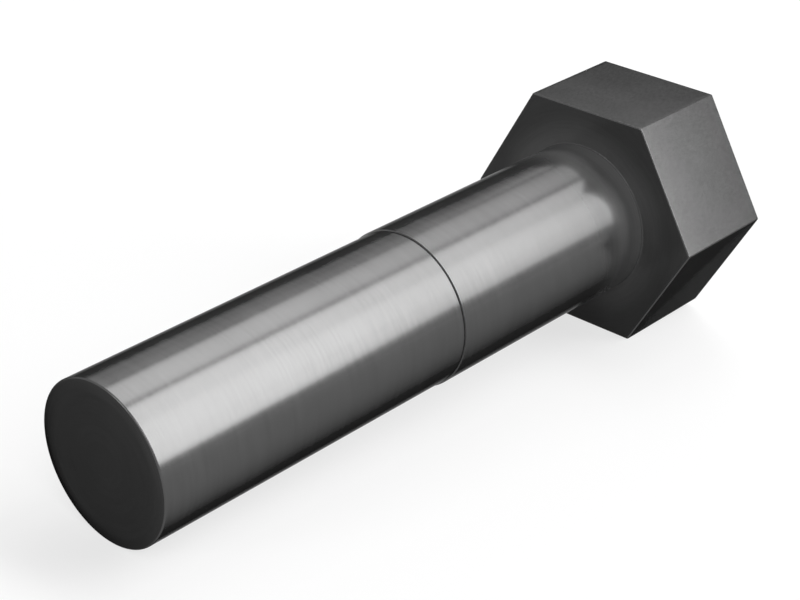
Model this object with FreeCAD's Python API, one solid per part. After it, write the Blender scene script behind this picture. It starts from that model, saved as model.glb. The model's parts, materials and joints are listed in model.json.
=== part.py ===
import FreeCAD, Part
import math
import os

# Hexagon head bolt, one piece of steel. Lengths are in millimetres, +Z is up, and the origin is the
# centre of the bearing face, the flat underside of the head. The bolt lies on its side as it comes to
# rest on a level surface, with its head towards -X and its tip towards +X.

# Head: a plain hexagonal prism with a flat facing straight up before the bolt tips to its rest
ACROSS_FLATS = 30.0
HEAD_HEIGHT = 15.4
HEAD_EDGE_BREAK = 0.1

# Shank: the full-diameter stretch next to the head
SHANK_DIAMETER = 20.0
LENGTH_UNDER_HEAD = 80.0
UNDER_HEAD_RADIUS = 0.2

# End section: slightly thinner, running from a small square shoulder to the flat tip
END_DIAMETER = 19.63
END_LENGTH = 46.0
TIP_EDGE_BREAK = 0.1

ORIGIN = FreeCAD.Vector(0, 0, 0)
BOLT_AXIS = FreeCAD.Vector(1, 0, 0)
TIPPING_AXIS = FreeCAD.Vector(0, 1, 0)


def hexagon_head():
    """The prism behind the bearing face, with all of its edges broken."""
    corner_radius = ACROSS_FLATS / math.sqrt(3)
    corners = []
    for step in range(7):
        angle = math.radians(60 * step)
        corner = FreeCAD.Vector(0, corner_radius * math.cos(angle), corner_radius * math.sin(angle))
        corners.append(corner)
    bearing_outline = Part.Face(Part.makePolygon(corners))
    prism = bearing_outline.extrude(BOLT_AXIS * -HEAD_HEIGHT)
    return prism.makeChamfer(HEAD_EDGE_BREAK, prism.Edges)


def turned_profile():
    """Half of the lengthwise section from the bearing face to the tip, in the XZ plane."""
    shank_radius = SHANK_DIAMETER / 2
    end_radius = END_DIAMETER / 2
    shoulder_x = LENGTH_UNDER_HEAD - END_LENGTH

    # The root radius is a quarter circle that turns the bearing face into the shank.
    root_centre = FreeCAD.Vector(UNDER_HEAD_RADIUS, 0, shank_radius + UNDER_HEAD_RADIUS)
    on_face = root_centre + FreeCAD.Vector(-UNDER_HEAD_RADIUS, 0, 0)
    on_shank = root_centre + FreeCAD.Vector(0, 0, -UNDER_HEAD_RADIUS)
    slant = UNDER_HEAD_RADIUS * math.sqrt(0.5)
    between = root_centre + FreeCAD.Vector(-slant, 0, -slant)
    root = Part.Arc(on_face, between, on_shank).toShape()

    outline = [
        on_shank,
        FreeCAD.Vector(shoulder_x, 0, shank_radius),
        FreeCAD.Vector(shoulder_x, 0, end_radius),
        FreeCAD.Vector(LENGTH_UNDER_HEAD - TIP_EDGE_BREAK, 0, end_radius),
        FreeCAD.Vector(LENGTH_UNDER_HEAD, 0, end_radius - TIP_EDGE_BREAK),
        FreeCAD.Vector(LENGTH_UNDER_HEAD, 0, 0),
        ORIGIN,
        on_face,
    ]
    straights = Part.makePolygon(outline).Edges
    return Part.Face(Part.Wire([root] + straights))


def turned_shaft():
    """Shank and end section as one body of revolution."""
    return turned_profile().revolve(ORIGIN, BOLT_AXIS, 360)


def rest_tilt():
    """Degrees by which the tip drops until it and the head's lower flat share one level surface."""
    drop = (ACROSS_FLATS - END_DIAMETER) / 2
    reach = LENGTH_UNDER_HEAD - TIP_EDGE_BREAK + HEAD_EDGE_BREAK
    return math.degrees(math.atan2(drop, reach))


def hex_bolt():
    """The whole bolt, lying at rest."""
    bolt = hexagon_head().fuse(turned_shaft()).removeSplitter().Solids[0]
    bolt.rotate(ORIGIN, TIPPING_AXIS, rest_tilt())
    return bolt


os.makedirs("parts", exist_ok=True)
hex_bolt().exportStep("parts/hex_bolt.step")
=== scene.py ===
import json
import math

import bmesh
import bpy
from mathutils import Matrix, Vector

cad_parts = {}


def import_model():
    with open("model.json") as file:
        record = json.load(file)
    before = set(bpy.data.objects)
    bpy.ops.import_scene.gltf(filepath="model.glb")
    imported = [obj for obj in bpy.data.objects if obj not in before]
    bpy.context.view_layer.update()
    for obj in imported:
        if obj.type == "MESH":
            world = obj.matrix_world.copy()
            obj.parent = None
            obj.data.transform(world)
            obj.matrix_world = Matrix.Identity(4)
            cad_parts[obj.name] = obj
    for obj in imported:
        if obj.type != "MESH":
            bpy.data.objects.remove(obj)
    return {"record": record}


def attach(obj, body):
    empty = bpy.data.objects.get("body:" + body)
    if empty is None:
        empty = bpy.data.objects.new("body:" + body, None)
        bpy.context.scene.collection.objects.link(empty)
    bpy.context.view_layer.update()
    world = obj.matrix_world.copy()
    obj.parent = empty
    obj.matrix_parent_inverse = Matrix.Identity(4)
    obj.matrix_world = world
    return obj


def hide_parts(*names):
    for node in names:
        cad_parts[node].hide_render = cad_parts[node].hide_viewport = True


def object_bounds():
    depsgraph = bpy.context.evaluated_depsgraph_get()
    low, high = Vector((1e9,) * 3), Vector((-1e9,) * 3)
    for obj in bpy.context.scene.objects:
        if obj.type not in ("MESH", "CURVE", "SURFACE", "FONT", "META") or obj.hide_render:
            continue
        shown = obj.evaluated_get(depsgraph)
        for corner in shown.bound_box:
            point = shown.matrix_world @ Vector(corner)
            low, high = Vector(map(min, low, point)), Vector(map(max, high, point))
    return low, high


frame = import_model()
cad_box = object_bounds()

# A hexagon head bolt of dark satin steel, lying on a white studio floor

# Sizes of the bolt in metres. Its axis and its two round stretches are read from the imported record.
MM = 0.001
MOUNTS = {mount["name"]: mount for mount in frame["record"]["mounts"]}
BEARING_FACE = MOUNTS["bearing_face"]
SHANK = MOUNTS["shank"]["dims"]
END_SECTION = MOUNTS["end_section"]["dims"]
ACROSS_FLATS = 30.0 * MM
HEAD_HEIGHT = 15.4 * MM
EDGE_BREAK = 0.1 * MM
ROOT_RADIUS = 0.2 * MM
SHANK_RADIUS = SHANK["r_mm"] * MM
END_RADIUS = END_SECTION["r_mm"] * MM
SHOULDER_X = ROOT_RADIUS + SHANK["length_mm"] * MM
TIP_X = SHOULDER_X + END_SECTION["length_mm"] * MM + EDGE_BREAK
FLOOR_Z = cad_box[0].z

# The head's sides, and the turn in degrees from one to the next
SIDES = 6
SIDE_TURN = 360 / SIDES


def round_over(edge_break, angle):
    """Radius of a round that only touches the small flat by which a break cuts an edge of that angle."""
    half = math.radians(angle / 2)
    return edge_break * math.cos(half) / (1 / math.sin(half) - 1)


# The solid's edges are cut by small flats. Rounds that only touch those flats keep the visible bolt inside
# the solid.
EDGE_ROUND = round_over(EDGE_BREAK, 90)
CORNER_ROUND = round_over(EDGE_BREAK, 180 - SIDE_TURN)

# How finely the mesh divides the bolt's surface
STEPS_PER_FLAT = 32
STEPS_PER_CORNER = 4
STEPS_PER_TURN = SIDES * (STEPS_PER_FLAT + STEPS_PER_CORNER)
STEPS_PER_EDGE = 4
STEPS_ON_CROWN = 6
STEPS_ON_BEARING_FACE = 4
STEPS_ALONG_SHANK = 8
STEPS_ALONG_END = 10
STEPS_ON_TIP = 6
SHARP_ANGLE = 40

# The surface by zones: colour, metallic share, tint of reflections seen aslant, roughness, lay of the tool
# marks and their depth in millimetres
FINISH = {
    "turned": dict(colour=0.093, metallic=0.78, edge_tint=0.17, roughness=0.2, lay="round", mark=0.002),
    "shoulder": dict(colour=0.28, metallic=0.25, edge_tint=0.2, roughness=0.2, lay="rings", mark=0.001),
    # The tip is darker than the turned shank, partly the faced end's own tone and partly painted shade on
    # its end face
    "tip": dict(colour=0.056, metallic=0.7, edge_tint=0.12, roughness=0.2, lay="rings", mark=0.002),
    "crown": dict(colour=0.06, metallic=0.7, edge_tint=0.12, roughness=0.2, lay="rings", mark=0.002),
    "flats": dict(colour=0.09, metallic=0.75, edge_tint=0.16, roughness=0.16, lay="along", mark=0.00045),
    "bearing": dict(colour=0.07, metallic=0.1, edge_tint=0.2, roughness=0.2, lay="rings", mark=0.002),
}
ZONES = list(FINISH)

# How each lay stretches the pattern of the marks: the smaller its number for an axis, the longer they are
# that way. In rings the distance from the bolt's axis takes the place of the first.
LAYS = {"round": (1, 0.05, 0.05), "rings": (0, 0.05, 0.05), "along": (0.5, 1.2, 1.2)}

# The noise of the marks and of a broad, faint bloom, with its scale per millimetre and its detail. It adds
# or takes a share of the colour, its shade, and some roughness, its gloss. Noise mostly lies between a low
# and a high value.
MARKS = dict(scale=3.0, detail=4.0)
MARKS_SHADE = 0.07
MARKS_GLOSS = 0.02
BLOOM = dict(scale=0.12, detail=2.0)
BLOOM_SHADE = 0.04
BLOOM_GLOSS = 0.006
NOISE_ROUGHNESS = 0.6
NOISE_LOW = 0.25
NOISE_HIGH = 0.75

# The metal in the corner under the head is painted paler, and on the shank more matt. This is painted glow
# that lightens the shade beside the head. It fades out over reaches in millimetres, along the shank from
# the bearing face and across that face from the axis.
SHANK_GLOW_PAINT_REACH = (0.0, 7.5)
SHANK_GLOW_MATT_REACH = (0.5, 10.0)
SHANK_PAINTED_GLOW_COLOUR = 0.23
SHANK_PAINTED_GLOW_METALLIC = 0.3
FACE_GLOW_PAINT_REACH = (10.2, 14.5)
FACE_PAINTED_GLOW_COLOUR = 0.118

# Floor, with the share of white that it shows to the eye near the bolt and far from it
FLOOR_RADIUS = 2.5
FLOOR_SEGMENTS = 96
FLOOR_MIDDLE_X = 0.03
FLOOR_COLOUR = 0.24
FLOOR_ROUGHNESS = 0.9
NEAR_GLOW = 0.7
FAR_GLOW = 0.95
GLOW_REACH = (0.1, 1.2)

# World: white to the eye, a plain dim fill for the rest
WHITE = 1.0
WORLD_FILL = 0.07

# Softboxes, flat panels beside the bolt, at one distance from its axis in metres. Each has the turns about
# that axis, in degrees from +Y towards +Z, between which the bolt sees it, the X in metres where it starts
# and ends, and its radiance. The key panels draw the bright band along the shank and light the flat turned
# to the camera. The back panels draw the stripe behind that band. The far panels draw the shank's far rim
# and light the top flat. The front panels stand past the tip and light the bearing face and the corner
# beside it.
SOFTBOX_DISTANCE = 1.2
SOFTBOXES = {
    "key_softbox_low": (7.5, 30, -0.5, -0.9, 8.3),
    "key_softbox_middle": (30, 60, -0.5, -0.9, 8.6),
    "key_softbox_high": (60, 87.5, -0.5, -0.9, 7.7),
    "key_softbox_low_end": (10, 20, -0.9, -1.31, 5.1),
    "key_softbox_rise_end": (20, 30, -0.9, -1.31, 6.3),
    "key_softbox_middle_end": (30, 60, -0.9, -1.31, 7.3),
    "key_softbox_high_end": (60, 87, -0.9, -1.31, 5.7),
    "back_softbox": (92.5, 127, -0.5, -0.9, 5.2),
    "back_softbox_end": (92.5, 127, -0.9, -1.31, 3.2),
    "far_softbox": (132, 152, -0.5, -1.15, 1.55),
    "far_softbox_high": (152, 179, -0.5, -0.9, 3.4),
    "far_softbox_high_end": (152, 179, -0.9, -1.45, 6.0),
    "far_softbox_end": (133, 154, -1.15, -1.9, 4.9),
    "front_softbox": (30, 70, 0.8, 0.3, 4.6),
    "front_softbox_high": (110, 150, 2.9, 1.9, 9.0),
}

# Camera at the photograph's viewing angle: its place in metres from the middle of the bearing face, the
# heading and elevation of its view in degrees, its lens and sensor in millimetres, and how near and far it
# sees in metres
CAMERA_PLACE = Vector((0.183888, 0.138588, 0.111812))
CAMERA_HEADING = -137.134
CAMERA_ELEVATION = -28.451
LENS = 87.886
SENSOR_WIDTH = 36.0
CLIP_START = 0.01
CLIP_END = 20


def bolt_to_frame():
    """Matrix from the bolt's own axes, X along it and Z across its top flat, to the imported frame."""
    along = Vector(BEARING_FACE["axis"])
    across = Vector((0, 1, 0))
    up = along.cross(across)
    turned = Matrix((along, across, up)).transposed().to_4x4()
    return Matrix.Translation(BEARING_FACE["pos_m"]) @ turned


BOLT_TO_FRAME = bolt_to_frame()
REST_TILT = math.acos(BEARING_FACE["axis"][0])


# Outlines, as (y, z) points that start at the middle of the first corner

def direction(turn):
    """Unit vector at a turn in degrees."""
    return Vector((math.cos(math.radians(turn)), math.sin(math.radians(turn))))


def hexagon(inset):
    """The head's outline, moved inwards by inset, with its corners slightly rounded."""
    centre_distance = (ACROSS_FLATS / 2 - CORNER_ROUND) / math.cos(math.radians(SIDE_TURN / 2))
    radius = CORNER_ROUND - inset
    points = []
    for side in range(SIDES):
        corner = SIDE_TURN * side
        centre = direction(corner) * centre_distance
        next_centre = direction(corner + SIDE_TURN) * centre_distance
        for step in range(STEPS_PER_CORNER + 1):
            turn = corner + SIDE_TURN * step / STEPS_PER_CORNER - SIDE_TURN / 2
            points.append(centre + direction(turn) * radius)
        lift = direction(corner + SIDE_TURN / 2) * radius
        for step in range(1, STEPS_PER_FLAT):
            points.append(centre.lerp(next_centre, step / STEPS_PER_FLAT) + lift)
    half_corner = STEPS_PER_CORNER // 2
    return points[half_corner:] + points[:half_corner]


def circle(radius):
    """A circle with as many points as the hexagon."""
    return [direction(360 * step / STEPS_PER_TURN) * radius for step in range(STEPS_PER_TURN)]


def quarter():
    """Sine and cosine along a quarter turn, ends included."""
    turns = [math.radians(90 * step / STEPS_PER_EDGE) for step in range(STEPS_PER_EDGE + 1)]
    return [(math.sin(turn), math.cos(turn)) for turn in turns]


def between(first, last, steps):
    """The points inside the stretch from first to last, cut into steps."""
    return [first + (last - first) * step / steps for step in range(1, steps)]


# Rings of the bolt's surface from crown to tip: the x, the outline, and the zone of the strip that follows

def head_rings():
    """From beside the middle of the crown, over the flats, to the bearing face."""
    face = hexagon(EDGE_ROUND)
    rings = []
    for share in between(0, 1, STEPS_ON_CROWN):
        rings.append((-HEAD_HEIGHT, [point * share for point in face], "crown"))
    for sine, cosine in quarter():
        outline = hexagon(EDGE_ROUND * (1 - sine))
        rings.append((-HEAD_HEIGHT + EDGE_ROUND * (1 - cosine), outline, "flats"))
    for sine, cosine in quarter():
        outline = hexagon(EDGE_ROUND * (1 - cosine))
        zone = "bearing" if sine == 1 else "flats"
        rings.append((-EDGE_ROUND * (1 - sine), outline, zone))
    root = circle(SHANK_RADIUS + ROOT_RADIUS)
    for share in between(0, 1, STEPS_ON_BEARING_FACE):
        rings.append((0.0, [outer.lerp(inner, share) for outer, inner in zip(face, root)], "bearing"))
    return rings


def shank_rings():
    """From the bearing face, round the root radius and along the full shank to the shoulder."""
    rings = []
    for sine, cosine in quarter():
        outline = circle(SHANK_RADIUS + ROOT_RADIUS * (1 - sine))
        zone = "turned" if sine == 1 else "bearing"
        rings.append((ROOT_RADIUS * (1 - cosine), outline, zone))
    for x in between(ROOT_RADIUS, SHOULDER_X, STEPS_ALONG_SHANK):
        rings.append((x, circle(SHANK_RADIUS), "turned"))
    rings.append((SHOULDER_X, circle(SHANK_RADIUS), "shoulder"))
    return rings


def end_rings():
    """From the foot of the shoulder along the end section and over its tip, to beside the tip's middle."""
    rings = [(SHOULDER_X, circle(END_RADIUS), "turned")]
    for x in between(SHOULDER_X, TIP_X - EDGE_ROUND, STEPS_ALONG_END):
        rings.append((x, circle(END_RADIUS), "turned"))
    for sine, cosine in quarter():
        outline = circle(END_RADIUS - EDGE_ROUND * (1 - cosine))
        zone = "tip" if sine == 1 else "turned"
        rings.append((TIP_X - EDGE_ROUND * (1 - sine), outline, zone))
    for radius in between(END_RADIUS - EDGE_ROUND, 0, STEPS_ON_TIP):
        rings.append((TIP_X, circle(radius), "tip"))
    return rings


def bolt_mesh():
    """One closed mesh, each face marked with its zone's material."""
    mesh = bmesh.new()
    rings = []
    for x, points, zone in head_rings() + shank_rings() + end_rings():
        rings.append(([mesh.verts.new((x, point.x, point.y)) for point in points], zone))
    crown = mesh.verts.new((-HEAD_HEIGHT, 0, 0))
    tip = mesh.verts.new((TIP_X, 0, 0))
    first, last = rings[0][0], rings[-1][0]
    for side in range(STEPS_PER_TURN):
        after = (side + 1) % STEPS_PER_TURN
        for (ring, zone), (following, _) in zip(rings, rings[1:]):
            face = mesh.faces.new((ring[side], following[side], following[after], ring[after]))
            face.material_index = ZONES.index(zone)
        face = mesh.faces.new((crown, first[side], first[after]))
        face.material_index = ZONES.index("crown")
        face = mesh.faces.new((tip, last[after], last[side]))
        face.material_index = ZONES.index("tip")
    bmesh.ops.recalc_face_normals(mesh, faces=mesh.faces)
    for face in mesh.faces:
        face.smooth = True
    data = bpy.data.meshes.new("bolt")
    mesh.to_mesh(data)
    mesh.free()
    data.transform(BOLT_TO_FRAME)
    data.set_sharp_from_angle(angle=math.radians(SHARP_ANGLE))
    return data


# Materials. Coordinates in the steel are millimetres along the bolt's own axes.

def plain_grey(level):
    """A grey as a colour socket takes it."""
    return (level, level, level, 1)


class Tree:
    """Short calls for the nodes of one material or world."""

    def __init__(self, tree):
        self.nodes, self.links = tree.nodes, tree.links

    def put(self, value, socket):
        """Link the value to the socket, or set it there if it is a constant."""
        if isinstance(value, bpy.types.NodeSocket):
            self.links.new(value, socket)
        else:
            socket.default_value = value

    def object_coordinates(self):
        """Metres from the object's origin."""
        return self.nodes.new("ShaderNodeTexCoord").outputs["Object"]

    def bolt_coordinates(self):
        """Millimetres along the bolt's own axes."""
        mapping = self.nodes.new("ShaderNodeMapping")
        mapping.inputs["Rotation"].default_value = (0, -REST_TILT, 0)
        mapping.inputs["Scale"].default_value = (1 / MM, 1 / MM, 1 / MM)
        self.links.new(self.object_coordinates(), mapping.inputs["Vector"])
        return mapping.outputs["Vector"]

    def vector(self, operation, first, second=None):
        """A vector operation on one or two values."""
        node = self.nodes.new("ShaderNodeVectorMath")
        node.operation = operation
        self.put(first, node.inputs[0])
        if second is not None:
            self.put(second, node.inputs[1])
        return node.outputs["Value" if operation == "LENGTH" else "Vector"]

    def math(self, operation, first, second):
        """An operation on two numbers."""
        node = self.nodes.new("ShaderNodeMath")
        node.operation = operation
        self.put(first, node.inputs[0])
        self.put(second, node.inputs[1])
        return node.outputs[0]

    def along_axis(self, place):
        """Distance along the bolt from the bearing face."""
        node = self.nodes.new("ShaderNodeSeparateXYZ")
        self.links.new(place, node.inputs["Vector"])
        return node.outputs["X"]

    def from_axis(self, place):
        """Distance outwards from the bolt's axis."""
        return self.vector("LENGTH", self.vector("MULTIPLY", place, (0, 1, 1)))

    def noise(self, vector, scale, detail):
        """A noise about one half."""
        node = self.nodes.new("ShaderNodeTexNoise")
        node.inputs["Scale"].default_value = scale
        node.inputs["Detail"].default_value = detail
        node.inputs["Roughness"].default_value = NOISE_ROUGHNESS
        self.links.new(vector, node.inputs["Vector"])
        return node.outputs["Fac"]

    def stretch(self, value, start, end, low, high, change="LINEAR"):
        """A value from start to end turned into one from low to high, and held at those outside it."""
        node = self.nodes.new("ShaderNodeMapRange")
        node.interpolation_type = change
        node.inputs["From Min"].default_value = start
        node.inputs["From Max"].default_value = end
        node.inputs["To Min"].default_value = low
        node.inputs["To Max"].default_value = high
        self.links.new(value, node.inputs["Value"])
        return node.outputs["Result"]

    def spread(self, noise, middle, reach):
        """A noise turned into a value that strays by reach to either side of middle."""
        return self.stretch(noise, NOISE_LOW, NOISE_HIGH, middle - reach, middle + reach)

    def fade(self, distance, reach, near, far):
        """A smooth change over a stretch of distance, from near before it to far after it."""
        return self.stretch(distance, reach[0], reach[1], near, far, "SMOOTHSTEP")

    def grey(self, value):
        """The same value in each channel of a colour."""
        node = self.nodes.new("ShaderNodeCombineColor")
        for channel in ("Red", "Green", "Blue"):
            self.put(value, node.inputs[channel])
        return node.outputs["Color"]

    def relief(self, height, depth):
        """The normal of a surface with a relief, depth metres deep."""
        node = self.nodes.new("ShaderNodeBump")
        node.inputs["Strength"].default_value = 1.0
        node.inputs["Distance"].default_value = depth
        self.links.new(height, node.inputs["Height"])
        return node.outputs["Normal"]

    def seen_by_eye(self):
        """1 where a ray comes from the camera, a reflection or a transmission, else 0."""
        path = self.nodes.new("ShaderNodeLightPath")
        seen = self.math("MAXIMUM", path.outputs["Is Camera Ray"], path.outputs["Is Glossy Ray"])
        return self.math("MAXIMUM", seen, path.outputs["Is Transmission Ray"])


def along_lay(tree, place, lay):
    """Coordinates stretched along the tool marks: round the axis, in rings on a face or along the bolt."""
    stretched = tree.vector("MULTIPLY", place, LAYS[lay])
    if lay != "rings":
        return stretched
    outwards = tree.nodes.new("ShaderNodeCombineXYZ")
    tree.put(tree.from_axis(place), outwards.inputs["X"])
    return tree.vector("ADD", stretched, outwards.outputs["Vector"])


def shank_painted_glow(tree, place, colour, metallic):
    """Colour and metallic share of the turned surface, painted paler and more matt beside the head as
    painted glow in its shade.
    """
    along = tree.along_axis(place)
    glow_colour = tree.fade(along, SHANK_GLOW_PAINT_REACH, SHANK_PAINTED_GLOW_COLOUR, colour)
    glow_metallic = tree.fade(along, SHANK_GLOW_MATT_REACH, SHANK_PAINTED_GLOW_METALLIC, metallic)
    return glow_colour, glow_metallic


def face_painted_glow(tree, place, colour, metallic):
    """Colour and metallic share of the bearing face, painted paler beside the shank as painted glow."""
    return tree.fade(tree.from_axis(place), FACE_GLOW_PAINT_REACH, FACE_PAINTED_GLOW_COLOUR, colour), metallic


# Zones that get painted glow beside the head
PAINTED_GLOWS = {"turned": shank_painted_glow, "bearing": face_painted_glow}


def steel(zone, colour, metallic, edge_tint, roughness, lay, mark):
    """Dark satin steel with fine tool marks, mark millimetres deep, that also stir its colour and gloss."""
    material = bpy.data.materials.new("steel_" + zone)
    material.use_nodes = True
    tree = Tree(material.node_tree)
    place = tree.bolt_coordinates()
    marks = tree.noise(along_lay(tree, place, lay), **MARKS)
    bloom = tree.noise(place, **BLOOM)
    shade = tree.math("MULTIPLY", tree.spread(marks, 1, MARKS_SHADE), tree.spread(bloom, 1, BLOOM_SHADE))
    gloss = tree.math("ADD", tree.spread(marks, 0, MARKS_GLOSS), tree.spread(bloom, 0, BLOOM_GLOSS))
    # Painted glow: paler, more matt metal beside the head on the shank and on the bearing face
    if zone in PAINTED_GLOWS:
        colour, metallic = PAINTED_GLOWS[zone](tree, place, colour, metallic)
    shader = tree.nodes["Principled BSDF"]
    tree.put(tree.grey(tree.math("MULTIPLY", shade, colour)), shader.inputs["Base Color"])
    tree.put(tree.math("ADD", gloss, roughness), shader.inputs["Roughness"])
    tree.put(tree.relief(marks, mark * MM), shader.inputs["Normal"])
    tree.put(metallic, shader.inputs["Metallic"])
    shader.inputs["Specular IOR Level"].default_value = 0.0
    shader.inputs["Specular Tint"].default_value = plain_grey(edge_tint)
    return material


def show(name, data):
    """A new object in the scene."""
    made = bpy.data.objects.new(name, data)
    bpy.context.scene.collection.objects.link(made)
    return made


# The bolt, with a material for each zone

bolt = show("dark_steel_bolt", bolt_mesh())
for zone in ZONES:
    bolt.data.materials.append(steel(zone, **FINISH[zone]))
weighted = bolt.modifiers.new("weighted_normals", "WEIGHTED_NORMAL")
weighted.mode = "FACE_AREA"
weighted.keep_sharp = True
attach(bolt, "root")
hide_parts("hex_bolt")


# The studio

def floor():
    """A plain disc under the bolt, lifted to white for the eye, which keeps the bolt's shadow."""
    mesh = bmesh.new()
    bmesh.ops.create_circle(mesh, cap_ends=True, segments=FLOOR_SEGMENTS, radius=FLOOR_RADIUS)
    data = bpy.data.meshes.new("floor")
    mesh.to_mesh(data)
    mesh.free()
    made = show("floor", data)
    made.location = (FLOOR_MIDDLE_X, 0, FLOOR_Z)
    material = bpy.data.materials.new("floor_paint")
    material.use_nodes = True
    data.materials.append(material)
    tree = Tree(material.node_tree)
    shader = tree.nodes["Principled BSDF"]
    shader.inputs["Base Color"].default_value = plain_grey(FLOOR_COLOUR)
    shader.inputs["Roughness"].default_value = FLOOR_ROUGHNESS
    shader.inputs["Specular IOR Level"].default_value = 0.0
    shader.inputs["Emission Color"].default_value = plain_grey(WHITE)
    distance = tree.vector("LENGTH", tree.object_coordinates())
    glow = tree.fade(distance, GLOW_REACH, NEAR_GLOW, FAR_GLOW)
    tree.put(tree.math("MULTIPLY", tree.seen_by_eye(), glow), shader.inputs["Emission Strength"])


def softbox(name, lowest, highest, start_x, end_x, radiance):
    """A flat panel that the bolt sees between two turns about its axis, from start_x to end_x along it."""
    middle = math.radians((lowest + highest) / 2)
    half_turn = math.radians((highest - lowest) / 2)
    lamp = bpy.data.lights.new(name, "AREA")
    lamp.shape = "RECTANGLE"
    lamp.size = start_x - end_x
    lamp.size_y = 2 * SOFTBOX_DISTANCE * math.tan(half_turn)
    lamp.energy = radiance * math.pi * lamp.size * lamp.size_y
    holder = show(name, lamp)
    outward = Vector((0, math.cos(middle), math.sin(middle)))
    along = Vector((1, 0, 0))
    sideways = outward.cross(along)
    place = outward * SOFTBOX_DISTANCE + along * (start_x + end_x) / 2
    turn = Matrix((along, sideways, outward)).transposed().to_4x4()
    holder.matrix_world = BOLT_TO_FRAME @ Matrix.Translation(place) @ turn
    holder.visible_camera = False


def world():
    """White surroundings for the eye, which light the bolt only dimly."""
    made = bpy.data.worlds.new("studio")
    made.use_nodes = True
    bpy.context.scene.world = made
    tree = Tree(made.node_tree)
    background = tree.nodes["Background"]
    background.inputs["Color"].default_value = plain_grey(WHITE)
    tree.put(tree.stretch(tree.seen_by_eye(), 0, 1, WORLD_FILL, WHITE), background.inputs["Strength"])


def camera():
    """The camera, placed by the bolt's own axes."""
    data = bpy.data.cameras.new("camera")
    data.sensor_width = SENSOR_WIDTH
    data.lens = LENS
    data.clip_start = CLIP_START
    data.clip_end = CLIP_END
    made = show("camera", data)
    heading, elevation = math.radians(CAMERA_HEADING), math.radians(CAMERA_ELEVATION)
    level = math.cos(elevation)
    ahead = Vector((level * math.cos(heading), level * math.sin(heading), math.sin(elevation)))
    turn = ahead.to_track_quat("-Z", "Y").to_matrix().to_4x4()
    made.matrix_world = BOLT_TO_FRAME @ Matrix.Translation(CAMERA_PLACE) @ turn
    bpy.context.scene.camera = made


floor()
for name, panel in SOFTBOXES.items():
    softbox(name, *panel)
world()
camera()
bpy.context.scene.view_settings.view_transform = "Standard"
